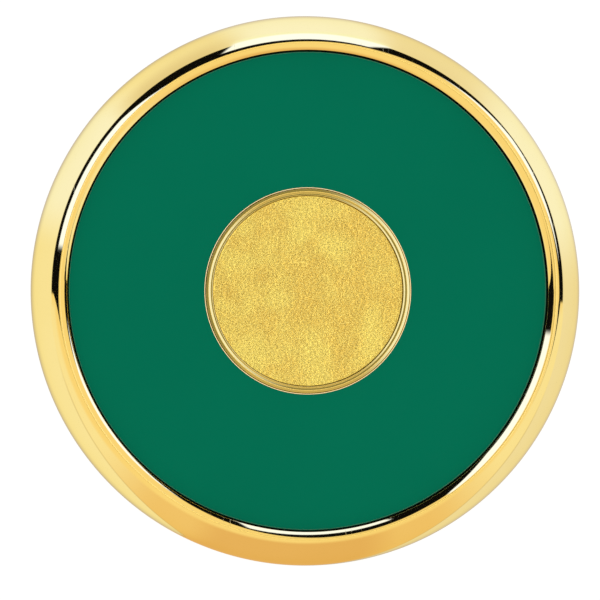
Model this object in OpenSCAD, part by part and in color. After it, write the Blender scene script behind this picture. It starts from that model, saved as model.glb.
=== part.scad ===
// Magnetic golf ball marker.
// A gold-plated bezel carries a green enamelled face plate. A thin brass cup in the middle of the
// face holds a removable marker coin, which a magnet under the cup keeps in place.
// Every piece is turned about the Z axis. Z = 0 is the face that the bezel rests on, and the
// enamel faces +Z. All sizes are in millimetres.

/* [Bezel] */
// Widest diameter of the bezel
bezel_d = 50.8; // [50:0.1:52]
// Height of the bezel's crest above the resting face
bezel_h = 5.8; // [5.6:0.1:6.6]
// Diameter of the crest, the highest circle of the rim
crest_d = 45.8; // [45.6:0.1:46.4]
// Radius of the circle inside the crest that both arcs touch; a larger one gives a wider flat on top
crest_round = 0.12; // [0.1:0.02:0.3]
// Slope in degrees at which the outer flank leaves the crest
flank_slope = 35.6; // [34:0.1:38]
// Slope in degrees at which the inner land leaves the crest
land_slope = 34.5; // [32:0.1:38]
// Radius of the inner land, which falls from the crest to the window
land_r = 5.6; // [4:0.1:8]
// Diameter of the front window that the face plate sits in
window_d = 44.4; // [44.2:0.1:44.7]
// Width of the ledge under the face plate
ledge_w = 1.7; // [1.3:0.1:2]
// Thickness of the ledge
ledge_t = 1; // [0.8:0.1:1.2]
// Chamfer on the bottom outer edge
foot_chamfer = 0.35; // [0.2:0.05:0.5]

/* [Face] */
// Depth of the enamel's surface below the crest
face_recess = 0.85; // [0.8:0.05:1]
// Thickness of the enamel
enamel_t = 0.25; // [0.2:0.05:0.4]
// Thickness of the brass face plate
plate_t = 0.8; // [0.6:0.1:1]
// Gap between the face plate and the window's wall
plate_gap = 0.15; // [0.1:0.05:0.3]
// Thickness of each adhesive film
film_t = 0.1; // [0.05:0.05:0.15]

/* [Marker] */
// Diameter of the removable marker
marker_d = 18.8; // [18:0.1:20]
// Thickness of the marker over its rim
marker_t = 2; // [1.8:0.1:2.2]
// Width of the marker's rim, from its edge to the field
rim_w = 0.6; // [0.5:0.02:0.7]
// Distance from the marker's edge to the ridge of its rim
ridge_in = 0.24; // [0.2:0.02:0.28]
// Distance from the marker's edge to the groove inside the ridge
groove_in = 0.43; // [0.38:0.01:0.46]
// Slope in degrees of the rim's facets
rim_slope = 27; // [20:1:32]
// Height of the rim's ridge above the marker's field
rim_rise = 0.25; // [0.15:0.05:0.3]
// Thickness of the blasted insert that makes the field
insert_t = 0.3; // [0.2:0.05:0.4]
// Chamfer on the marker's bottom edge
marker_chamfer = 0.2; // [0.1:0.05:0.3]

/* [Cup] */
// Radial clearance between the marker and the cup
cup_clear = 0.03; // [0.03:0.01:0.1]
// Wall of the cup's neck, which shows as a thin line round the marker
neck_t = 0.1; // [0.1:0.02:0.2]
// Height of the cup's lip above the enamel
lip_rise = 0.05; // [0.02:0.01:0.08]
// Thickness of the cup's floor, between the magnet and the marker
cup_floor_t = 0.4; // [0.3:0.05:0.5]
// Width of the shoulder that stops the cup under the face plate
shoulder_w = 0.92; // [0.7:0.02:1.2]

/* [Magnet] */
// Diameter of the magnet
magnet_d = 12; // [10:0.5:14]

/* [Back] */
// Thickness of the back plate
back_t = 0.75; // [0.6:0.05:0.8]
// Depth of the back plate below the resting face
back_recess = 0.1; // [0.05:0.05:0.15]
// Diameter of the back plate
back_d = 45; // [44.6:0.1:45.2]
// Width of the seat that the back plate is glued to
seat_w = 0.95; // [0.7:0.05:1.1]
// Diameter of the turned ring groove in the back plate
back_groove_d = 38; // [30:0.5:40]

/* [Spacer] */
// Thickness of the spacer's web
web_t = 0.35; // [0.3:0.05:0.45]
// Number of ribs
rib_count = 8; // [6:1:12]
// Thickness of the ribs and of the inner ring
rib_t = 0.9; // [0.7:0.1:1.2]

/* [Hidden] */
$fn = 96;

GOLD = [0.91, 0.72, 0.33];
SATIN_GOLD = [0.90, 0.77, 0.36];
BRASS = [0.78, 0.62, 0.33];
GREEN = [0.01, 0.43, 0.31];
NICKEL = [0.75, 0.76, 0.78];
FILM = [0.93, 0.90, 0.80];
BLACK_PLASTIC = [0.10, 0.10, 0.11];

fit_gap = 0.05;      // slack round a piece that drops into a seat
touch_gap = 0.02;    // slack where the cup's neck passes the plate and the enamel
edge_break = 0.08;   // small chamfer on the enamel's outer edge

bezel_r = bezel_d / 2;
crest_r = crest_d / 2;
crest_z = bezel_h - crest_round;
window_r = window_d / 2;

// The flank's radius follows from its slope at the crest and from the bezel's widest circle.
flank_r = (bezel_r - crest_r - crest_round * sin(flank_slope)) / (1 - sin(flank_slope));
flank_x = bezel_r - flank_r;
flank_z = crest_z - (flank_r - crest_round) * cos(flank_slope);
foot_r = flank_x + sqrt(pow(flank_r, 2) - pow(flank_z, 2));
land_x = crest_r + (land_r - crest_round) * sin(land_slope);
land_z = crest_z - (land_r - crest_round) * cos(land_slope);

enamel_top = bezel_h - face_recess;
plate_top = enamel_top - enamel_t;
plate_bottom = plate_top - plate_t;
ledge_top = plate_bottom - film_t;
ledge_bottom = ledge_top - ledge_t;
ledge_r = window_r - ledge_w;
plate_r = window_r - plate_gap;

back_top = back_recess + back_t;
seat_z = back_top + film_t;
back_r = back_d / 2;
seat_r = back_r - seat_w;

marker_r = marker_d / 2;
edge_drop = ridge_in * tan(rim_slope);
groove_drop = (groove_in - ridge_in) * tan(rim_slope);
fine_drop = max(0, groove_drop - (rim_w - groove_in) * tan(rim_slope));
field_z = enamel_top;
marker_top = field_z + rim_rise;
marker_bottom = marker_top - marker_t;
insert_bottom = field_z - insert_t;
insert_seat_z = insert_bottom - film_t;
insert_seat_r = marker_r - rim_w;

pocket_r = marker_r + cup_clear;
neck_r = pocket_r + neck_t;
hole_r = neck_r + touch_gap;
cup_r = neck_r + shoulder_w;
cup_bottom = marker_bottom - cup_floor_t;
magnet_r = magnet_d / 2;
magnet_top = cup_bottom - film_t;
magnet_bottom = back_top + web_t;

spacer_r = ledge_r - 4 * fit_gap;
spacer_ring_t = 1.2;
collar_r = magnet_r + fit_gap;
collar_t = 1.5;
inner_ring_r = cup_r + 12 * fit_gap;
rib_top = cup_bottom - 4 * fit_gap;

// A box in the profile plane, from radius r0 to r1 and from height z0 to z1.
module cell(r0, r1, z0, z1) {
    translate([r0, z0]) square([r1 - r0, z1 - z0]);
}

// A flat ring or disc turned about the axis.
module ring(r0, r1, z0, z1) {
    rotate_extrude() cell(r0, r1, z0, z1);
}

// The rim's section: inside the flank's circle and the land's circle, under a narrow flat crest,
// on a chamfered foot.
module rim_profile() {
    difference() {
        intersection() {
            translate([flank_x, flank_z]) circle(flank_r);
            translate([land_x, land_z]) circle(land_r);
            union() {
                cell(window_r, bezel_r + 1, seat_z, bezel_h);
                cell(back_r + fit_gap, bezel_r + 1, 0, seat_z);
            }
        }
        polygon([
            [foot_r - foot_chamfer, -0.5],
            [foot_r - foot_chamfer, 0],
            [foot_r + 0.5, foot_chamfer + 0.5],
            [foot_r + 1, -0.5]
        ]);
    }
}

// The bezel is a ring with a ledge for the face plate and a seat for the back plate.
module bezel() {
    color(GOLD) rotate_extrude() {
        rim_profile();
        cell(ledge_r, crest_r, ledge_bottom, ledge_top);
        cell(seat_r, crest_r, seat_z, ledge_bottom);
    }
}

module face_plate() {
    color(BRASS) ring(hole_r, plate_r, plate_bottom, plate_top);
}

module enamel_face() {
    color(GREEN) rotate_extrude() polygon([
        [hole_r, plate_top],
        [plate_r, plate_top],
        [plate_r, enamel_top - edge_break],
        [plate_r - edge_break, enamel_top],
        [hole_r, enamel_top]
    ]);
}

module face_adhesive() {
    color(FILM) ring(ledge_r + 4 * fit_gap, plate_r - 2 * fit_gap, ledge_top, plate_bottom);
}

// A turned cup: a thin neck that shows round the marker, on a body that stops under the plate.
module marker_cup() {
    lip = neck_t / 3;
    color(GOLD) rotate_extrude() {
        polygon([
            [pocket_r, plate_bottom],
            [neck_r, plate_bottom],
            [neck_r, enamel_top + lip_rise - lip],
            [neck_r - lip, enamel_top + lip_rise],
            [pocket_r + lip, enamel_top + lip_rise],
            [pocket_r, enamel_top + lip_rise - lip]
        ]);
        cell(pocket_r, cup_r, marker_bottom, plate_bottom);
        cell(0, cup_r, cup_bottom, marker_bottom);
    }
}

module magnet() {
    edge = 2 * fit_gap;
    color(NICKEL) rotate_extrude() polygon([
        [0, magnet_bottom],
        [magnet_r - edge, magnet_bottom],
        [magnet_r, magnet_bottom + edge],
        [magnet_r, magnet_top - edge],
        [magnet_r - edge, magnet_top],
        [0, magnet_top]
    ]);
}

module magnet_adhesive() {
    color(FILM) ring(0, magnet_r - 6 * fit_gap, magnet_top, cup_bottom);
}

// A moulded core that fills the space between the back plate and the face plate. Its web carries
// the magnet, its collar locates it, and its two tall rings hold the face plate up.
module core_spacer() {
    rib_inner = collar_r + collar_t / 2;
    rib_length = spacer_r - spacer_ring_t / 2 - rib_inner;
    rib_bottom = back_top + web_t / 2;
    color(BLACK_PLASTIC) {
        rotate_extrude() {
            cell(0, spacer_r, back_top, magnet_bottom);
            cell(collar_r, collar_r + collar_t, magnet_bottom, rib_top);
            cell(inner_ring_r, inner_ring_r + rib_t, magnet_bottom, plate_bottom);
            cell(spacer_r - spacer_ring_t, spacer_r, magnet_bottom, plate_bottom);
        }
        for (i = [0 : rib_count - 1])
            rotate(i * 360 / rib_count)
                translate([rib_inner, -rib_t / 2, rib_bottom])
                    cube([rib_length, rib_t, rib_top - 2 * fit_gap - rib_bottom]);
    }
}

// The rear cover, with a shallow turned groove near its edge.
module back_plate() {
    groove_w = 0.6;
    groove_depth = 0.15;
    groove_r = back_groove_d / 2;
    color(GOLD) rotate_extrude() difference() {
        cell(0, back_r, back_recess, back_top);
        cell(groove_r - groove_w / 2, groove_r + groove_w / 2, back_recess - 1, back_recess + groove_depth);
    }
}

module back_adhesive() {
    color(FILM) ring(seat_r + 2 * fit_gap, back_r - 2 * fit_gap, back_top, seat_z);
}

// The marker's steel body: a shallow dish. Its rim has a ridge, a fine groove inside the ridge,
// and a second, lower ridge next to the field.
module marker_body() {
    color(GOLD) rotate_extrude() polygon([
        [0, marker_bottom],
        [marker_r - marker_chamfer, marker_bottom],
        [marker_r, marker_bottom + marker_chamfer],
        [marker_r, marker_top - edge_drop],
        [marker_r - ridge_in, marker_top],
        [marker_r - groove_in, marker_top - groove_drop],
        [insert_seat_r, marker_top - fine_drop],
        [insert_seat_r, insert_seat_z],
        [0, insert_seat_z]
    ]);
}

module insert_adhesive() {
    color(FILM) ring(0, insert_seat_r - 5 * fit_gap, insert_seat_z, insert_bottom);
}

module marker_insert() {
    color(SATIN_GOLD) ring(0, insert_seat_r - fit_gap, insert_bottom, field_z);
}

bezel();
face_plate();
enamel_face();
face_adhesive();
marker_cup();
magnet();
magnet_adhesive();
core_spacer();
back_plate();
back_adhesive();
marker_body();
insert_adhesive();
marker_insert();
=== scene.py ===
"""The looks of the golf ball marker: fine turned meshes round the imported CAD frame. Sizes in the profiles and
materials are in millimetres, and become Blender's metres where a mesh or a bump is made."""

import math

import bpy
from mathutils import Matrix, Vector, noise


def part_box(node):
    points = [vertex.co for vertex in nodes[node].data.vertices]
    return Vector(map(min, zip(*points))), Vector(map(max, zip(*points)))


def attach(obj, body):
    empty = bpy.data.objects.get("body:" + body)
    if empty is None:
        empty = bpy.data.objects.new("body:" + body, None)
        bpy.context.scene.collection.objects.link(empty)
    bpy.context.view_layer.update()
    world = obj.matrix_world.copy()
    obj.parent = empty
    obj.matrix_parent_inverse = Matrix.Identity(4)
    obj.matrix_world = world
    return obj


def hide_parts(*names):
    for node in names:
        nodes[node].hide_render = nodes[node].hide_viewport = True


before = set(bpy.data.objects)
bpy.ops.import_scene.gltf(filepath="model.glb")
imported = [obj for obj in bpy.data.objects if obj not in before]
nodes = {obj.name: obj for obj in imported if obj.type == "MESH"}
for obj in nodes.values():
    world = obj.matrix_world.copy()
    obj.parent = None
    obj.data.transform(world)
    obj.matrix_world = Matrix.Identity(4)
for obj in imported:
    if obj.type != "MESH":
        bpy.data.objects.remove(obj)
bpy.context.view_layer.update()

MM = 0.001
SCENE = bpy.context.scene
WHITE = (1.0, 1.0, 1.0)

# ---------------------------------------------------------------- sizes, in millimetres


def reach(node):
    """Outer radius, lowest and highest z of a CAD node, in millimetres."""
    low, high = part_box(node)
    return high.x / MM, low.z / MM, high.z / MM


BEZEL_R, _, BEZEL_H = reach("bezel")
ENAMEL_R, ENAMEL_BOTTOM, ENAMEL_TOP = reach("enamel_face")
CUP_R, CUP_BOTTOM, CUP_TOP = reach("marker_cup")
COIN_R, COIN_BOTTOM, COIN_TOP = reach("marker_body")
INSERT_R, INSERT_BOTTOM, FIELD_Z = reach("marker_insert")
BACK_R, BACK_BOTTOM, BACK_TOP = reach("back_plate")

# The rim: flank and land are arcs that meet at the crest, which is a small round.
CREST_R = 22.9
CREST_ROUND = 0.12
FLANK_SLOPE = math.radians(35.6)
LAND_SLOPE = math.radians(34.5)
LAND_ARC = 5.6
WINDOW_R = 22.2
LEDGE_R = 20.5
SEAT_R = 21.55
BACK_HOLE_R = 22.55
FOOT_CHAMFER = 0.35
LEDGE_THICKNESS = 1.0
LEDGE_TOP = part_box("face_adhesive")[0].z / MM
LEDGE_BOTTOM = LEDGE_TOP - LEDGE_THICKNESS
SEAT_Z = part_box("back_adhesive")[1].z / MM
PLATE_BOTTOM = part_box("face_plate")[0].z / MM

# The cup's thin lip: its crest lies LIP_IN inside the neck, and it falls to the neck and to the pocket.
POCKET_R = 9.43
NECK_R = 9.53
LIP_IN = 0.05
LIP_OUTER_DROP = 0.014
LIP_INNER_DROP = 0.08
ENAMEL_HOLE_R = 9.55
POCKET_FLOOR = COIN_BOTTOM

# The coin's rim, by the distance of each line from the coin's edge: ridge, groove, fine ridge, field.
RIDGE_IN = 0.24
GROOVE_IN = 0.43
FINE_RIDGE_IN = 0.56
RIM_W = 0.6
RIM_SLOPE = math.tan(math.radians(27))
RIM_STEP = 0.02
COIN_SEAT_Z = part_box("insert_adhesive")[0].z / MM

BACK_GROOVE_R = 19.0
BACK_GROOVE_W = 0.6
BACK_GROOVE_SIDE = 0.12
BACK_GROOVE_DEPTH = 0.15

LAND_X = CREST_R + (LAND_ARC - CREST_ROUND) * math.sin(LAND_SLOPE)
LAND_Z = BEZEL_H - CREST_ROUND - (LAND_ARC - CREST_ROUND) * math.cos(LAND_SLOPE)
LAND_END_Z = LAND_Z + math.sqrt(LAND_ARC**2 - (LAND_X - WINDOW_R) ** 2)

# Steps round the axis, the longest side of a profile, and how far from a corner its holding points are.
SEGMENTS = 480
LONGEST_SIDE = 1.2
HOLD = 0.03

# The polished rim isn't quite round: the height, size and place of its waves.
BEZEL_WAVE = 0.010
WAVE_SIZE = 9.0
WAVE_START = Vector((3.1, 7.7, 1.3))


# ---------------------------------------------------------------- profiles

NEARLY_STRAIGHT = 0.02
MOST_OF_A_SIDE = 0.45
ON_AXIS = 1e-6


def arc(cx, cz, radius, start, end, steps):
    """Points on a circle in the profile plane; angles in radians from straight up, clockwise."""
    turn = (end - start) / steps
    return [
        (cx + radius * math.sin(start + i * turn), cz + radius * math.cos(start + i * turn))
        for i in range(steps + 1)
    ]


def rounded(corners, steps):
    """Rounds corners with short curves; each is (radius from the axis, z, radius of its own round)."""
    out = []
    count = len(corners)
    for i, (r, z, corner) in enumerate(corners):
        here = Vector((r, z))
        if corner <= 0:
            out.append(tuple(here))
            continue
        back = Vector(corners[i - 1][:2]) - here
        ahead = Vector(corners[(i + 1) % count][:2]) - here
        angle = back.angle(ahead)
        if abs(math.pi - angle) < NEARLY_STRAIGHT:
            out.append(tuple(here))
            continue
        most = MOST_OF_A_SIDE * min(back.length, ahead.length)
        cut = min(corner / math.tan(angle / 2), most)
        first = here + back.normalized() * cut
        last = here + ahead.normalized() * cut
        for k in range(steps + 1):
            t = k / steps
            out.append(tuple(first * (1 - t) ** 2 + here * 2 * t * (1 - t) + last * t * t))
    return out


def held(profile):
    """Splits long sides of a closed profile and adds a point close to each end, so shading stays crisp."""
    out = []
    for i, point in enumerate(profile):
        here, ahead = Vector(point), Vector(profile[(i + 1) % len(profile)])
        side = ahead - here
        out.append(tuple(here))
        if side.length > 4 * HOLD:
            out.append(tuple(here + side.normalized() * HOLD))
            parts = int(side.length / LONGEST_SIDE)
            for k in range(1, parts + 1):
                out.append(tuple(here + side * (k / (parts + 1))))
            out.append(tuple(ahead - side.normalized() * HOLD))
    return out


def turned_rows(profile, wave):
    """The vertices of a turned profile, and for each of its points the ring of vertex numbers it makes."""
    verts, rows = [], []
    for r, z in profile:
        if r < ON_AXIS:
            rows.append([len(verts)] * SEGMENTS)
            verts.append((0.0, 0.0, z * MM))
            continue
        rows.append(list(range(len(verts), len(verts) + SEGMENTS)))
        for k in range(SEGMENTS):
            a = 2 * math.pi * k / SEGMENTS
            place = Vector((r * math.cos(a), r * math.sin(a), z)) / WAVE_SIZE
            shift = wave * noise.noise(place + WAVE_START) if wave else 0.0
            verts.append(((r + shift) * MM * math.cos(a), (r + shift) * MM * math.sin(a), z * MM))
    return verts, rows


def lathe(name, profile, wave=0.0):
    """Turns a closed profile of (radius, z) in millimetres about Z into a closed mesh."""
    verts, rows = turned_rows(profile, wave)
    faces = []
    for low, high in zip(rows, rows[1:] + rows[:1]):
        for k in range(SEGMENTS):
            n = (k + 1) % SEGMENTS
            ring = [low[k], high[k], high[n], low[n]]
            face = [v for j, v in enumerate(ring) if v not in ring[:j]]
            if len(face) > 2:
                faces.append(face)
    mesh = bpy.data.meshes.new(name)
    mesh.from_pydata(verts, [], faces)
    mesh.validate()
    return mesh


def face_out(mesh):
    """Turns the faces outward: a closed mesh's signed volume is positive when they are."""
    volume = 0.0
    mesh.calc_loop_triangles()
    for tri in mesh.loop_triangles:
        a, b, c = (mesh.vertices[v].co for v in tri.vertices)
        volume += a.dot(b.cross(c))
    if volume < 0:
        mesh.flip_normals()


def place_piece(mesh, body, node, look):
    """Makes a closed mesh a piece that rides on a CAD body and replaces a CAD node, in its material."""
    mesh.shade_smooth()
    face_out(mesh)
    obj = bpy.data.objects.new(mesh.name, mesh)
    SCENE.collection.objects.link(obj)
    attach(obj, body)
    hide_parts(node)
    paint(obj, look)


# ---------------------------------------------------------------- node helpers


class Value:
    """A socket or number in a node tree; arithmetic on it adds Math nodes."""

    def __init__(self, tree, source):
        self.tree = tree
        self.source = source

    def op(self, kind, *others):
        """The result of a Math node of this kind on the value and the others."""
        node = self.tree.nodes.new("ShaderNodeMath")
        node.operation = kind
        for socket, item in zip(node.inputs, (self, *others)):
            source = item.source if isinstance(item, Value) else item
            if isinstance(source, bpy.types.NodeSocket):
                self.tree.links.new(source, socket)
            else:
                socket.default_value = source
        return Value(self.tree, node.outputs[0])

    def __add__(self, other):
        return self.op("ADD", other)

    def __sub__(self, other):
        return self.op("SUBTRACT", other)

    def __mul__(self, other):
        return self.op("MULTIPLY", other)

    def __truediv__(self, other):
        return self.op("DIVIDE", other)

    def flipped(self):
        """One minus the value."""
        return Value(self.tree, 1.0) - self

    def over(self, edge, soft):
        """0 below the edge, 1 above it, with a smooth step as wide as twice soft."""
        node = self.tree.nodes.new("ShaderNodeMapRange")
        node.interpolation_type = "SMOOTHSTEP"
        self.tree.links.new((self - edge).source, node.inputs["Value"])
        node.inputs["From Min"].default_value = -soft
        node.inputs["From Max"].default_value = soft
        return Value(self.tree, node.outputs["Result"])

    def between(self, low, high, soft):
        """1 between low and high, 0 outside them, with smooth steps."""
        return self.over(low, soft) * self.over(high, soft).flipped()

    def capped(self):
        """The value, but at most one."""
        return self.op("MINIMUM", 1.0)


def mix(tree, factor, first, second):
    """A colour that goes from first to second as factor goes from 0 to 1."""
    node = tree.nodes.new("ShaderNodeMix")
    node.data_type = "RGBA"
    for key, item in (("Factor", factor), ("A", first), ("B", second)):
        socket = [s for s in node.inputs if s.name == key and s.enabled][0]
        source = item.source if isinstance(item, Value) else item
        if isinstance(source, bpy.types.NodeSocket):
            tree.links.new(source, socket)
        else:
            socket.default_value = (*source, 1.0) if isinstance(source, tuple) else source
    return Value(tree, [s for s in node.outputs if s.enabled][0])


def place_mm(tree):
    """The shading point in millimetres, in the piece's own frame."""
    coords = tree.nodes.new("ShaderNodeTexCoord")
    scale = tree.nodes.new("ShaderNodeVectorMath")
    scale.operation = "SCALE"
    scale.inputs["Scale"].default_value = 1 / MM
    tree.links.new(coords.outputs["Object"], scale.inputs[0])
    return scale.outputs[0]


def stretched(tree, vector, turn, factors):
    """The vector turned about Z and scaled on each axis, which turns round noise into streaks."""
    mapping = tree.nodes.new("ShaderNodeMapping")
    mapping.inputs["Rotation"].default_value = (0, 0, turn)
    mapping.inputs["Scale"].default_value = factors
    tree.links.new(vector, mapping.inputs["Vector"])
    return mapping.outputs[0]


def noise_value(tree, vector, scale, detail):
    """Noise of about 0 to 1; one over the scale is the size of its lumps."""
    node = tree.nodes.new("ShaderNodeTexNoise")
    node.inputs["Scale"].default_value = scale
    node.inputs["Detail"].default_value = detail
    tree.links.new(vector, node.inputs["Vector"])
    return Value(tree, node.outputs["Fac"])


def split(tree, vector):
    """The x, y and z of a vector."""
    node = tree.nodes.new("ShaderNodeSeparateXYZ")
    tree.links.new(vector, node.inputs[0])
    return [Value(tree, socket) for socket in node.outputs]


def off_axis(x, y):
    """Distance from the Z axis."""
    return (x * x + y * y).op("SQRT")


def turned_vector(tree, vector, across, along):
    """A vector in which round noise becomes streaks round the Z axis, without a seam."""
    x, y, _ = split(tree, vector)
    radius = off_axis(x, y)
    join = tree.nodes.new("ShaderNodeCombineXYZ")
    for socket, item in zip(join.inputs, (radius * across, x / radius * along, y / radius * along)):
        tree.links.new(item.source, socket)
    return join.outputs[0]


def material(name):
    """A new material with its tree, its Principled node and a place vector in millimetres."""
    mat = bpy.data.materials.new(name)
    mat.use_nodes = True
    tree = mat.node_tree
    surface = tree.nodes["Principled BSDF"]
    return mat, tree, surface, place_mm(tree)


def bump(tree, surface, height, distance, before=None):
    """Adds a bump of a distance in millimetres to a surface, after an earlier bump if one is given."""
    node = tree.nodes.new("ShaderNodeBump")
    node.inputs["Strength"].default_value = 1.0
    node.inputs["Distance"].default_value = distance * MM
    tree.links.new(height.source, node.inputs["Height"])
    if before is not None:
        tree.links.new(before.outputs[0], node.inputs["Normal"])
    tree.links.new(node.outputs[0], surface.inputs["Normal"])
    return node


def scratches(tree, vector, turn):
    """Fine straight scratches in one direction, in patches: 1 on a scratch, 0 elsewhere."""
    drawn_out = stretched(tree, vector, turn, SCRATCH_STRETCH)
    streak = noise_value(tree, drawn_out, scale=1.0, detail=2.0)
    patch = noise_value(tree, vector, scale=0.35, detail=1.0)
    return streak.over(SCRATCH_LEVEL, 0.02) * patch.over(0.5, 0.12)


# ---------------------------------------------------------------- materials

GOLD = (0.95, 0.775, 0.30)
GOLD_DRIFT = (0.93575, 0.755625, 0.279)
EDGE_TINT = (0.95, 0.88, 0.62)
# A pale gold painted on the cup's thin lip as a highlight.
LIP_HIGHLIGHT_GOLD = (1.0, 0.94, 0.74)
# A dark colour painted into the gap round the enamel as shade.
GAP_SHADE = (0.012, 0.010, 0.006)
POLISH_ROUGH = 0.025
SMEAR_ROUGH = 0.03
SCRATCH_ROUGH = 0.12
GAP_SHADE_ROUGH = 0.6

FIELD_GOLD = (0.90, 0.72, 0.195)
FIELD_PALE = (1.0, 0.92, 0.285)
# Dark specks of painted shade in the grain's pits, and small painted glints.
PIT_SHADE = (0.52, 0.33, 0.06)
PIT_SHADE_SHARE = 0.32
GLINT = (1.0, 0.98, 0.44)
GLINT_SHARE = 0.5
# A ring of painted shade at the field's edge, where it meets the rim.
FIELD_EDGE_SHADE = (0.10, 0.06, 0.02)
FIELD_EDGE_SHADE_SHARE = 0.3

ENAMEL_DEEP = (0.0002, 0.1563, 0.0821)
ENAMEL_LIGHT = (0.0002, 0.1625, 0.0852)

TURNED_PALE = (0.93, 0.70, 0.25)
TURNED_DEEP = (0.88, 0.64, 0.21)
TOOL_LINE = (0.62, 0.42, 0.13)
TOOL_LINE_SHARE = 0.35

# Scratches are noise drawn out along one axis; only its highest peaks count.
SCRATCH_STRETCH = (9.0, 0.22, 0.22)
SCRATCH_LEVEL = 0.70
SCRATCH_TURNS = (0.6, 2.1)


def polished_gold():
    """Mirror-polished plating: a little waviness, hairline scratches and a faint drift of colour. The gap
    round the enamel is painted dark as shade, and the cup's thin lip is painted pale as a highlight."""
    mat, tree, surface, place = material("polished_gold")
    x, y, height = split(tree, place)
    radius = off_axis(x, y)
    # Small margins keep each mark on its own faces.
    # Painted shade: inside the gap round the enamel the gold is made dark, rough and not metal.
    in_gap = radius.between(ENAMEL_R - 0.03, WINDOW_R + 0.015, soft=0.01)
    in_gap = in_gap * height.over(LAND_END_Z - 0.03, soft=0.02).flipped()
    # Painted highlight: the cup's thin lip is made pale gold.
    on_lip = radius.between(POCKET_R, NECK_R + 0.02, soft=0.01)
    on_lip = on_lip * height.between(CUP_TOP - 0.05, CUP_TOP + 0.02, soft=0.01)
    drift = noise_value(tree, place, scale=0.12, detail=2.0).over(0.5, 0.22)
    colour = mix(tree, drift, GOLD, GOLD_DRIFT)
    colour = mix(tree, on_lip, colour, LIP_HIGHLIGHT_GOLD)
    colour = mix(tree, in_gap, colour, GAP_SHADE)
    tree.links.new(colour.source, surface.inputs["Base Color"])
    tree.links.new(in_gap.flipped().source, surface.inputs["Metallic"])
    surface.inputs["Specular Tint"].default_value = (*EDGE_TINT, 1.0)
    one_way, other_way = (scratches(tree, place, turn) for turn in SCRATCH_TURNS)
    marks = one_way + other_way
    smear = noise_value(tree, place, scale=0.5, detail=4.0)
    rough = smear * SMEAR_ROUGH + POLISH_ROUGH + marks * SCRATCH_ROUGH + in_gap * GAP_SHADE_ROUGH
    tree.links.new(rough.source, surface.inputs["Roughness"])
    waviness = bump(tree, surface, noise_value(tree, place, scale=0.22, detail=1.0), distance=0.008)
    bump(tree, surface, marks, distance=-0.0006, before=waviness)
    return mat


def blasted_gold():
    """Bead-blasted plating. The coarse pits are in the mesh. Here are a cloudy drift of colour, dark specks of
    painted shade in the pits, small painted glints, a fine grain, and a ring of painted shade at the field's
    edge."""
    mat, tree, surface, place = material("blasted_gold")
    cloud = noise_value(tree, place, scale=0.30, detail=3.0).over(0.5, 0.18)
    fine = noise_value(tree, place, scale=9.5, detail=1.0)
    # Painted shade in the pits as dark specks, and painted highlights as small bright glints.
    specks = fine.over(0.44, 0.07).flipped()
    glints = fine.over(0.56, 0.05)
    x, y, _ = split(tree, place)
    # Painted shade in a narrow ring at the field's edge.
    seam = off_axis(x, y).over(INSERT_R - 0.06, 0.03)
    colour = mix(tree, cloud, FIELD_GOLD, FIELD_PALE)
    colour = mix(tree, specks * PIT_SHADE_SHARE, colour, PIT_SHADE)
    colour = mix(tree, glints * GLINT_SHARE, colour, GLINT)
    colour = mix(tree, seam * FIELD_EDGE_SHADE_SHARE, colour, FIELD_EDGE_SHADE)
    tree.links.new(colour.source, surface.inputs["Base Color"])
    surface.inputs["Metallic"].default_value = 1.0
    tree.links.new((fine * 0.10 + 0.18).source, surface.inputs["Roughness"])
    bump(tree, surface, noise_value(tree, place, scale=14.0, detail=2.0), distance=0.007)
    return mat


def green_enamel():
    """Hard green enamel: deep even colour under a clear, slightly rippled polished surface."""
    mat, tree, surface, place = material("green_enamel")
    cloud = noise_value(tree, place, scale=0.10, detail=2.0).over(0.5, 0.3)
    colour = mix(tree, cloud, ENAMEL_DEEP, ENAMEL_LIGHT)
    tree.links.new(colour.source, surface.inputs["Base Color"])
    surface.inputs["IOR"].default_value = 1.5
    smear = noise_value(tree, place, scale=0.7, detail=3.0)
    tree.links.new((smear * 0.03 + 0.05).source, surface.inputs["Roughness"])
    ripple = bump(tree, surface, noise_value(tree, place, scale=0.5, detail=1.0), distance=0.004)
    bump(tree, surface, noise_value(tree, place, scale=3.0, detail=1.0), distance=0.0003, before=ripple)
    return mat


def turned_gold():
    """Turned and plated brass: fine concentric tool lines that stretch the highlights."""
    mat, tree, surface, place = material("turned_gold")
    vector = turned_vector(tree, place, across=9.0, along=1.6)
    lines = noise_value(tree, vector, scale=1.0, detail=3.0)
    wide = noise_value(tree, vector, scale=0.12, detail=1.0)
    colour = mix(tree, wide.over(0.5, 0.25), TURNED_PALE, TURNED_DEEP)
    colour = mix(tree, lines.over(0.44, 0.10).flipped() * TOOL_LINE_SHARE, colour, TOOL_LINE)
    tree.links.new(colour.source, surface.inputs["Base Color"])
    surface.inputs["Metallic"].default_value = 1.0
    surface.inputs["Anisotropic"].default_value = 0.7
    tangent = tree.nodes.new("ShaderNodeTangent")
    tangent.direction_type = "RADIAL"
    tangent.axis = "Z"
    tree.links.new(tangent.outputs[0], surface.inputs["Tangent"])
    tree.links.new((lines * 0.14 + 0.18).source, surface.inputs["Roughness"])
    bump(tree, surface, lines, distance=0.004)
    return mat


def hidden_material(name, deep, pale, metallic, rough, scale):
    """A material for a piece inside the marker: two shades of one colour with a fine grain."""
    mat, tree, surface, place = material(name)
    grain = noise_value(tree, place, scale, detail=4.0)
    tree.links.new(mix(tree, grain, deep, pale).source, surface.inputs["Base Color"])
    surface.inputs["Metallic"].default_value = metallic
    tree.links.new((grain * 0.15 + rough).source, surface.inputs["Roughness"])
    bump(tree, surface, grain, distance=0.006)
    return mat


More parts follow.
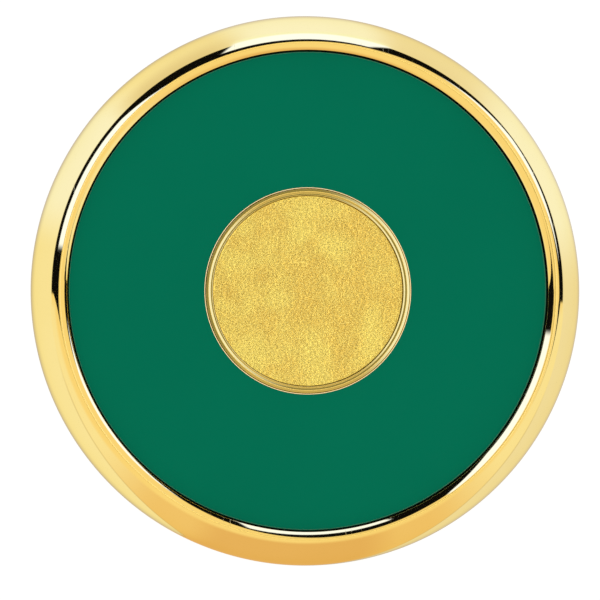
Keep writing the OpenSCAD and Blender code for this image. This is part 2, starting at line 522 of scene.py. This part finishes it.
POLISHED = polished_gold()
BLASTED = blasted_gold()
ENAMEL = green_enamel()
TURNED = turned_gold()
BRASS = hidden_material(
    "rolled_brass", (0.62, 0.44, 0.16), (0.72, 0.53, 0.22), metallic=1.0, rough=0.25, scale=1.5
)
NICKEL = hidden_material(
    "nickel_plate", (0.62, 0.61, 0.58), (0.72, 0.71, 0.69), metallic=1.0, rough=0.15, scale=2.0
)
PLASTIC = hidden_material(
    "black_abs", (0.012, 0.012, 0.014), (0.03, 0.03, 0.033), metallic=0.0, rough=0.45, scale=5.0
)
FILM = hidden_material(
    "cured_epoxy", (0.75, 0.66, 0.42), (0.85, 0.78, 0.58), metallic=0.0, rough=0.2, scale=0.8
)


def paint(obj, mat):
    """Gives an object this material and no other."""
    obj.data.materials.clear()
    obj.data.materials.append(mat)


# ---------------------------------------------------------------- bezel


def bezel_profile():
    """The rim from its crest down the flank to the foot, round the back, and up the window to the land."""
    crest_z = BEZEL_H - CREST_ROUND
    flank_arc = (BEZEL_R - CREST_R - CREST_ROUND * math.sin(FLANK_SLOPE)) / (1 - math.sin(FLANK_SLOPE))
    flank_x = BEZEL_R - flank_arc
    flank_z = crest_z - (flank_arc - CREST_ROUND) * math.cos(FLANK_SLOPE)
    foot_r = flank_x + math.sqrt(flank_arc**2 - flank_z**2)
    chamfer_turn = math.acos(max(-1.0, (FOOT_CHAMFER - flank_z) / flank_arc))
    land_end = -math.asin((LAND_X - WINDOW_R) / LAND_ARC)

    crest = arc(CREST_R, crest_z, CREST_ROUND, -LAND_SLOPE, FLANK_SLOPE, steps=14)
    flank = arc(flank_x, flank_z, flank_arc, FLANK_SLOPE, chamfer_turn, steps=90)
    land = arc(LAND_X, LAND_Z, LAND_ARC, land_end, -LAND_SLOPE, steps=16)
    corners = [
        (flank[-1][0], flank[-1][1], 0.0),
        (foot_r - FOOT_CHAMFER, 0.0, 0.15),
        (BACK_HOLE_R, 0.0, 0.06),
        (BACK_HOLE_R, SEAT_Z, 0.03),
        (SEAT_R, SEAT_Z, 0.03),
        (SEAT_R, LEDGE_BOTTOM, 0.03),
        (LEDGE_R, LEDGE_BOTTOM, 0.05),
        (LEDGE_R, LEDGE_TOP, 0.05),
        (WINDOW_R, LEDGE_TOP, 0.03),
        (WINDOW_R, land[0][1], 0.035),
        (land[1][0], land[1][1], 0.0),
    ]
    back = rounded(corners, steps=4)
    return crest[1:] + flank[1:-1] + back[:-1] + land[1:]


bezel = lathe("bezel_ring", held(bezel_profile()), wave=BEZEL_WAVE)
place_piece(bezel, "holder", "bezel", POLISHED)


# ---------------------------------------------------------------- enamel


def enamel_profile():
    """A flat ring whose outer edge is rounded over."""
    corners = [
        (ENAMEL_HOLE_R, ENAMEL_BOTTOM, 0.01),
        (ENAMEL_R, ENAMEL_BOTTOM, 0.01),
        (ENAMEL_R, ENAMEL_TOP, 0.09),
        (ENAMEL_HOLE_R, ENAMEL_TOP, 0.015),
    ]
    return rounded(corners, steps=6)


enamel = lathe("enamel_disc", held(enamel_profile()))
place_piece(enamel, "holder", "enamel_face", ENAMEL)


# ---------------------------------------------------------------- cup


def cup_profile():
    """A shallow cup with a shoulder under the face plate and a thin lip that slopes into the pocket."""
    corners = [
        (0.0, CUP_BOTTOM, 0.0),
        (CUP_R, CUP_BOTTOM, 0.1),
        (CUP_R, PLATE_BOTTOM, 0.05),
        (NECK_R, PLATE_BOTTOM, 0.02),
        (NECK_R, CUP_TOP - LIP_OUTER_DROP, 0.005),
        (NECK_R - LIP_IN, CUP_TOP, 0.01),
        (POCKET_R, CUP_TOP - LIP_INNER_DROP, 0.01),
        (POCKET_R, POCKET_FLOOR, 0.04),
        (0.0, POCKET_FLOOR, 0.0),
    ]
    return rounded(corners, steps=5)


cup = lathe("coin_cup", held(cup_profile()))
place_piece(cup, "holder", "marker_cup", POLISHED)


# ---------------------------------------------------------------- back plate


def back_profile():
    """A flat disc with one turned groove on its underside."""
    inner = BACK_GROOVE_R - BACK_GROOVE_W / 2
    outer = BACK_GROOVE_R + BACK_GROOVE_W / 2
    groove_top = BACK_BOTTOM + BACK_GROOVE_DEPTH
    corners = [
        (0.0, BACK_BOTTOM, 0.0),
        (inner, BACK_BOTTOM, 0.06),
        (inner + BACK_GROOVE_SIDE, groove_top, 0.08),
        (outer - BACK_GROOVE_SIDE, groove_top, 0.08),
        (outer, BACK_BOTTOM, 0.06),
        (BACK_R, BACK_BOTTOM, 0.10),
        (BACK_R, BACK_TOP, 0.05),
        (0.0, BACK_TOP, 0.0),
    ]
    return rounded(corners, steps=5)


back = lathe("rear_cover", held(back_profile()))
place_piece(back, "holder", "back_plate", TURNED)


# ---------------------------------------------------------------- coin


def coin_profile():
    """The coin's body: a dished disc with a ridge, a groove and a finer, lower ridge round the field."""
    groove_z = COIN_TOP - (GROOVE_IN - RIDGE_IN) * RIM_SLOPE
    fine_z = groove_z + (FINE_RIDGE_IN - GROOVE_IN) * RIM_SLOPE
    corners = [
        (COIN_R - RIM_W, fine_z - RIM_STEP, 0.01),
        (COIN_R - FINE_RIDGE_IN, fine_z, 0.02),
        (COIN_R - GROOVE_IN, groove_z, 0.02),
        (COIN_R - RIDGE_IN, COIN_TOP, 0.05),
        (COIN_R, COIN_TOP - RIDGE_IN * RIM_SLOPE, 0.03),
        (COIN_R, COIN_BOTTOM, 0.2),
        (0.0, COIN_BOTTOM, 0.0),
        (0.0, COIN_SEAT_Z, 0.0),
        (COIN_R - RIM_W, COIN_SEAT_Z, 0.04),
    ]
    return rounded(corners, steps=6)


coin = lathe("coin_body", held(coin_profile()))
place_piece(coin, "marker", "marker_body", POLISHED)


# The blasted field is a square grid of GRID by GRID quads. It lies a skin's depth under the CAD's flat field,
# and its edge is turned up a little.
GRID = 308
SKIN = 0.012
EDGE_BAND = 0.15
EDGE_LIFT = 0.006

# Layers of the grain: noise scale per millimetre, height in millimetres, and an offset that sets it apart.
GRAIN_LAYERS = (
    (6.3, 0.004, (0.0, 0.0, 0.4)),
    (3.1, 0.004, (17.0, 0.0, 5.2)),
    (0.55, 0.006, (0.0, 9.0, 2.2)),
)


def grain(x, y):
    """Height of the blasted surface at a place, all in millimetres: fine pits on wide, shallow swells."""
    place = Vector((x, y, 0.0))
    return sum(height * noise.noise(place * scale + Vector(start)) for scale, height, start in GRAIN_LAYERS)


def disc_point(i, j):
    """Maps a square grid to the coin's field so that the quads keep an even size."""
    a, b = 2 * i / GRID - 1, 2 * j / GRID - 1
    if i == j == GRID / 2:
        return 0.0, 0.0
    if abs(a) > abs(b):
        r, phi = a, math.pi / 4 * b / a
    else:
        r, phi = b, math.pi / 2 - math.pi / 4 * a / b
    return INSERT_R * r * math.cos(phi), INSERT_R * r * math.sin(phi)


def field_height(x, y):
    """Height of the field: pitted, but smooth and turned up at its edge."""
    inside = min(1.0, max(0.0, (INSERT_R - math.hypot(x, y)) / EDGE_BAND))
    return FIELD_Z - SKIN + grain(x, y) * inside + EDGE_LIFT * (1 - inside) ** 2


def blasted_insert():
    """The coin's field as a closed mesh: the pitted grid on top, a side wall and a flat bottom."""
    verts, faces = [], []
    side = GRID + 1
    for j in range(side):
        for i in range(side):
            x, y = disc_point(i, j)
            verts.append((x * MM, y * MM, field_height(x, y) * MM))
    for j in range(GRID):
        for i in range(GRID):
            a = j * side + i
            faces.append((a, a + 1, a + side + 1, a + side))
    rim = list(range(side))
    rim += [j * side + GRID for j in range(1, side)]
    rim += [GRID * side + i for i in range(GRID - 1, -1, -1)]
    rim += [j * side for j in range(GRID - 1, 0, -1)]
    below = len(verts)
    for v in rim:
        x, y, _ = verts[v]
        verts.append((x, y, INSERT_BOTTOM * MM))
    centre = len(verts)
    verts.append((0.0, 0.0, INSERT_BOTTOM * MM))
    for k in range(len(rim)):
        n = (k + 1) % len(rim)
        faces.append((rim[n], rim[k], below + k, below + n))
        faces.append((below + n, below + k, centre))
    mesh = bpy.data.meshes.new("coin_field")
    mesh.from_pydata(verts, [], faces)
    return mesh


place_piece(blasted_insert(), "marker", "marker_insert", BLASTED)


# ---------------------------------------------------------------- pieces inside

for piece, look in (
    ("face_plate", BRASS),
    ("magnet", NICKEL),
    ("core_spacer", PLASTIC),
    ("face_adhesive", FILM),
    ("magnet_adhesive", FILM),
    ("back_adhesive", FILM),
    ("insert_adhesive", FILM),
):
    paint(nodes[piece], look)


# ---------------------------------------------------------------- floor


FLOOR_SIZE = 6.0
FLOOR_GLOW = 0.86
FLOOR_PAPER = (0.22, 0.22, 0.22)


def floor():
    """A pale sheet under the marker. From below it is clear, so that the back can be seen."""
    bpy.ops.mesh.primitive_grid_add(x_subdivisions=8, y_subdivisions=8, size=FLOOR_SIZE)
    sheet = bpy.context.object
    sheet.name = "floor"
    mat = bpy.data.materials.new("floor")
    mat.use_nodes = True
    tree = mat.node_tree
    tree.nodes.clear()
    out = tree.nodes.new("ShaderNodeOutputMaterial")
    glow = tree.nodes.new("ShaderNodeEmission")
    glow.inputs["Color"].default_value = (*WHITE, 1.0)
    glow.inputs["Strength"].default_value = FLOOR_GLOW
    paper = tree.nodes.new("ShaderNodeBsdfDiffuse")
    paper.inputs["Color"].default_value = (*FLOOR_PAPER, 1.0)
    both = tree.nodes.new("ShaderNodeAddShader")
    tree.links.new(glow.outputs[0], both.inputs[0])
    tree.links.new(paper.outputs[0], both.inputs[1])
    clear = tree.nodes.new("ShaderNodeBsdfTransparent")
    side = tree.nodes.new("ShaderNodeNewGeometry")
    pick = tree.nodes.new("ShaderNodeMixShader")
    tree.links.new(side.outputs["Backfacing"], pick.inputs[0])
    tree.links.new(both.outputs[0], pick.inputs[1])
    tree.links.new(clear.outputs[0], pick.inputs[2])
    tree.links.new(pick.outputs[0], out.inputs["Surface"])
    sheet.data.materials.append(mat)
    sheet.visible_glossy = False


floor()


# ---------------------------------------------------------------- studio


# Places in the room are angles in degrees: polar is measured from straight up, and turn from +X towards +Y,
# from 0 to 360. A span is (from, to, softness), a step is (turn, softness, rise), and a line is (turn, change
# of polar for each degree of turn, polar at that turn).

DEGREES = math.degrees(1)
RADIANS = math.radians(1)

# The table, from its far edge down to the part under the marker. The edge seems lower on the right because
# the camera leans to the left.
HORIZON = 88.4
HORIZON_TILT = 2.5
TABLE_RIGHT = (0.94, 0.93, 1.08)
TABLE_LEFT = (1.01, 1.0, 1.03)
TABLE_COOL = (1.03, 1.14, 1.72)
TABLE_BROWN = (0.84, 0.79, 0.80)
TABLE_SHADE = (0.56, 0.52, 0.56)
COOL_SPANS = ((8.0, 44.0, 8.0), (70.0, 103.0, 5.0), (132.0, 164.0, 7.0))
WIDE_GAP = (105.0, 132.0, 6.0)
NARROW_GAP = (44.0, 66.0, 6.0)
NARROW_GAP_SHARE = 0.3

# The card on the -Y side: amber in its middle, paler beside it and straw at its ends, with a hairline along
# its edge. It reaches CARD_REACH below the horizon in its middle.
CARD_MIDDLE = 270.0
CARD_SPAN = (183.0, 356.0, 2.0)
CARD_REACH = 160.0
CARD_FALL = 22.0
CARD_TOP = 79.0
AMBER = (0.85, 0.575, 0.345)
AMBER_PALE = (0.93, 0.70, 0.45)
STRAW = (1.02, 0.98, 0.93)
HAIRLINE_SPAN = (200.0, 335.0, 8.0)
HAIRLINE = (0.45, 0.32, 0.15)
HAIRLINE_SHARE = 0.3

# The tent: its lower part, its walls half way up, its ceiling, and the camera's black card overhead.
WARM_TENT = (1.02, 0.86, 0.59)
WALL_SPAN = (44.0, 63.0, 4.0)
PALE_WALL = (1.0, 1.1, 1.5)
BROWN_WALL = (0.60, 0.50, 0.28)
OLIVE = (0.30, 0.28, 0.16)
CEILING_END = 40.0
CEILING = (1.90, 1.56, 0.96)
CEILING_EDGE = (1.12, 0.98, 0.72)
CAMERA_CARD_END = 9.0
CAMERA_CARD = (0.02, 0.02, 0.02)

# The dark flags on the +Y side, with a thin tail at each end: (its turn, the turn where it has died out, the
# turn over which it shrinks, which is negative where the turn grows along it, its top, its depth).
FLAG_TOP = 81.0
FLAG_STEPS = ((70.0, 25.0, 11.5), (122.0, 8.0, 1.5))
FLAG_RIGHT_END = 357.5
FLAG_LEFT_END = 180.5
RIGHT_TAIL = (FLAG_RIGHT_END, 335.0, 6.0, 80.0, 5.0)
LEFT_TAIL = (FLAG_LEFT_END, 200.0, -4.0, 69.0, 12.5)
DARK = (0.004, 0.004, 0.006)

# The softboxes between the flags, and the glow of the middle one on the table. The middle one's ends are turns
# at polar 90, and its slants are the turn added for each degree above that.
RIGHT_BOX = (6.0, 56.0, 1.0)
RIGHT_BOX_TOP = (6.0, -4.0 / 14.0, 84.5)
RIGHT_BOX_HIGHEST = 80.5
RIGHT_BOX_FOOT = (6.0, 3.4 / 28.0, 84.5)
RIGHT_BOX_LOWEST = 88.0
RIGHT_BOX_END = (56.0, -7.7 / 21.0, 80.2)
MIDDLE_BOX_TOP = 77.4
MIDDLE_BOX_FOOT = 91.5
MIDDLE_BOX_ENDS = (68.1, 103.5)
MIDDLE_BOX_SLANTS = (0.34, 0.25)
LEFT_BOX = (121.8, 169.3, 1.0)
LEFT_BOX_TOP = 67.0
LEFT_BOX_FOOT = (121.8, 9.0 / 13.4, 70.0)
LEFT_BOX_LOWEST = 79.0
SOFTBOX = (1.12, 1.34, 2.8)
GLOW_SPAN = (69.0, 103.0, 2.0)
GLOW_HEIGHT = (89.0, 97.0, 4.0)
GLOW = (1.02, 1.18, 1.62)


def directions(tree):
    """Where a ray goes: its polar angle, its turn, and the cosine of its turn, 1 on the right."""
    coords = tree.nodes.new("ShaderNodeTexCoord")
    x, y, z = split(tree, coords.outputs["Generated"])
    polar = z.op("ARCCOSINE") * DEGREES
    turn = y.op("ARCTAN2", x) * DEGREES
    turn = turn + turn.over(0.0, 0.001).flipped() * 360.0
    return polar, turn, (turn * RADIANS).op("COSINE")


def line(turn, start, rate, height):
    """The polar angle of a straight slanted edge at a turn."""
    return (turn - start) * rate + height


def table_colour(tree, polar, turn, side):
    """Pale table: coolest in front of a softbox, brownest in the gaps between them, dim under the marker."""
    lit = [turn.between(*span) for span in COOL_SPANS]
    gap = turn.between(*WIDE_GAP) + turn.between(*NARROW_GAP) * NARROW_GAP_SHARE
    colour = mix(tree, side.over(-0.3, 0.5), TABLE_LEFT, TABLE_RIGHT)
    colour = mix(tree, (lit[0] + lit[1] + lit[2]).capped(), colour, TABLE_COOL)
    colour = mix(tree, gap * polar.over(108.0, 20.0).flipped(), colour, TABLE_BROWN)
    return mix(tree, polar.over(158.0, 22.0), colour, TABLE_SHADE)


def with_card(tree, room, polar, turn, horizon):
    """Adds the amber card, which reaches further below the horizon the nearer it is to the -Y direction."""
    off_middle = (turn - CARD_MIDDLE).op("ABSOLUTE")
    edge = (off_middle * (-1 / CARD_FALL)).op("EXPONENT") * CARD_REACH + horizon
    card = polar.over(edge, 1.2).flipped() * turn.between(*CARD_SPAN)
    colour = mix(tree, off_middle.over(42.0, 12.0).flipped(), STRAW, AMBER_PALE)
    colour = mix(tree, off_middle.over(20.0, 5.0).flipped(), colour, AMBER)
    room = mix(tree, card * polar.over(CARD_TOP, 4.0), room, colour)
    hairline = (polar - edge).op("ABSOLUTE").over(1.6, 1.2).flipped() * turn.between(*HAIRLINE_SPAN)
    return mix(tree, hairline * HAIRLINE_SHARE, room, HAIRLINE)


def with_walls(tree, room, polar, turn, side):
    """Adds the walls, pale on the right, brown towards -Y and olive elsewhere, and the ceiling above them."""
    off_middle = (turn - CARD_MIDDLE).op("ABSOLUTE")
    wall = mix(tree, side.over(0.55, 0.35), OLIVE, PALE_WALL)
    wall = mix(tree, off_middle.over(45.0, 15.0).flipped(), wall, BROWN_WALL)
    room = mix(tree, polar.between(*WALL_SPAN), room, wall)
    ceiling = mix(tree, polar.over(24.0, 12.0), CEILING, CEILING_EDGE)
    return mix(tree, polar.over(CEILING_END, 6.0).flipped(), room, ceiling)


def tail(polar, turn, end, far, length, top, depth):
    """Where a flag's thin tail is: its depth shrinks from the flag's end towards the far turn."""
    low = ((turn - end) * (1 / length)).op("EXPONENT") * depth + top
    return polar.between(top, low, 0.4) * turn.between(min(end, far), max(end, far), 0.5)


def flags(tree, polar, turn, horizon):
    """Where the dark flags are: from their top, which is higher on the left, down to the table."""
    top = Value(tree, FLAG_TOP)
    for start, soft, rise in FLAG_STEPS:
        top = top - turn.over(start, soft) * rise
    dark = polar.between(top, horizon, 0.6) * turn.over(FLAG_LEFT_END, 0.5).flipped()
    dark = dark + polar.between(FLAG_TOP, horizon, 0.6) * turn.over(FLAG_RIGHT_END, 0.4)
    dark = dark + tail(polar, turn, *LEFT_TAIL) + tail(polar, turn, *RIGHT_TAIL)
    return dark.capped()


def softboxes(tree, polar, turn):
    """Where the softboxes are: a lens-shaped right one, a slanted middle one and a clipped left one."""
    top = line(turn, *RIGHT_BOX_TOP).op("MAXIMUM", RIGHT_BOX_HIGHEST)
    foot = line(turn, *RIGHT_BOX_FOOT).op("MINIMUM", RIGHT_BOX_LOWEST)
    foot = foot.op("MINIMUM", line(turn, *RIGHT_BOX_END))
    right = polar.between(top, foot, 0.5) * turn.between(*RIGHT_BOX)

    above = (Value(tree, 90.0) - polar).op("MAXIMUM", 0.0)
    start, end = (above * slant + level for slant, level in zip(MIDDLE_BOX_SLANTS, MIDDLE_BOX_ENDS))
    middle = polar.over(MIDDLE_BOX_TOP, 0.6) * polar.over(MIDDLE_BOX_FOOT, 2.5).flipped()
    middle = middle * turn.over(start, 0.8) * turn.over(end, 0.8).flipped()

    foot = line(turn, *LEFT_BOX_FOOT).op("MINIMUM", LEFT_BOX_LOWEST)
    left = polar.between(LEFT_BOX_TOP, foot, 0.6) * turn.between(*LEFT_BOX)
    return (right + middle + left).capped()


def studio():
    """The room round the marker as a world shader, which only reflections see; other rays see even white.
    A warm tent overhead, softboxes between dark flags low on the +Y side, an amber card on the -Y side, and
    pale table below."""
    world = bpy.data.worlds.new("studio")
    SCENE.world = world
    world.use_nodes = True
    tree = world.node_tree
    tree.nodes.clear()
    polar, turn, side = directions(tree)
    horizon = side * HORIZON_TILT + HORIZON

    room = mix(tree, polar.over(horizon, 0.8), WARM_TENT, table_colour(tree, polar, turn, side))
    room = with_card(tree, room, polar, turn, horizon)
    room = with_walls(tree, room, polar, turn, side)
    room = mix(tree, flags(tree, polar, turn, horizon), room, DARK)
    glow = polar.between(*GLOW_HEIGHT) * turn.between(*GLOW_SPAN)
    room = mix(tree, glow, room, GLOW)
    room = mix(tree, softboxes(tree, polar, turn), room, SOFTBOX)
    room = mix(tree, polar.over(CAMERA_CARD_END, 2.5).flipped(), room, CAMERA_CARD)

    seen = tree.nodes.new("ShaderNodeBackground")
    tree.links.new(room.source, seen.inputs["Color"])
    even = tree.nodes.new("ShaderNodeBackground")
    even.inputs["Color"].default_value = (*WHITE, 1.0)
    path = tree.nodes.new("ShaderNodeLightPath")
    pick = tree.nodes.new("ShaderNodeMixShader")
    tree.links.new(path.outputs["Is Glossy Ray"], pick.inputs[0])
    tree.links.new(even.outputs[0], pick.inputs[1])
    tree.links.new(seen.outputs[0], pick.inputs[2])
    out = tree.nodes.new("ShaderNodeOutputWorld")
    tree.links.new(pick.outputs[0], out.inputs["Surface"])


studio()
SCENE.view_settings.view_transform = "Standard"


# ---------------------------------------------------------------- camera


# In metres. Half the view's width is taken at the height that the camera looks at. The marker isn't in the
# middle of the view, and the shifts are shares of the view's width.
CAMERA_LEAN = math.radians(3.5)
CAMERA_DISTANCE = 1.0
HALF_VIEW = 0.02773
TARGET_HEIGHT = 0.0013
SHIFT_X = -0.009
SHIFT_Y = -0.0151667


def camera():
    """Above the face, leaning a little towards -X, with a long lens."""
    data = bpy.data.cameras.new("camera")
    data.lens = data.sensor_width / 2 * CAMERA_DISTANCE / HALF_VIEW
    data.clip_start = 0.05
    data.clip_end = 20.0
    data.shift_x = SHIFT_X
    data.shift_y = SHIFT_Y
    cam = bpy.data.objects.new("camera", data)
    SCENE.collection.objects.link(cam)
    towards = Vector((-math.sin(CAMERA_LEAN), 0.0, math.cos(CAMERA_LEAN)))
    cam.rotation_euler = (0.0, -CAMERA_LEAN, 0.0)
    cam.location = Vector((0.0, 0.0, TARGET_HEIGHT)) + towards * CAMERA_DISTANCE
    SCENE.camera = cam


camera()
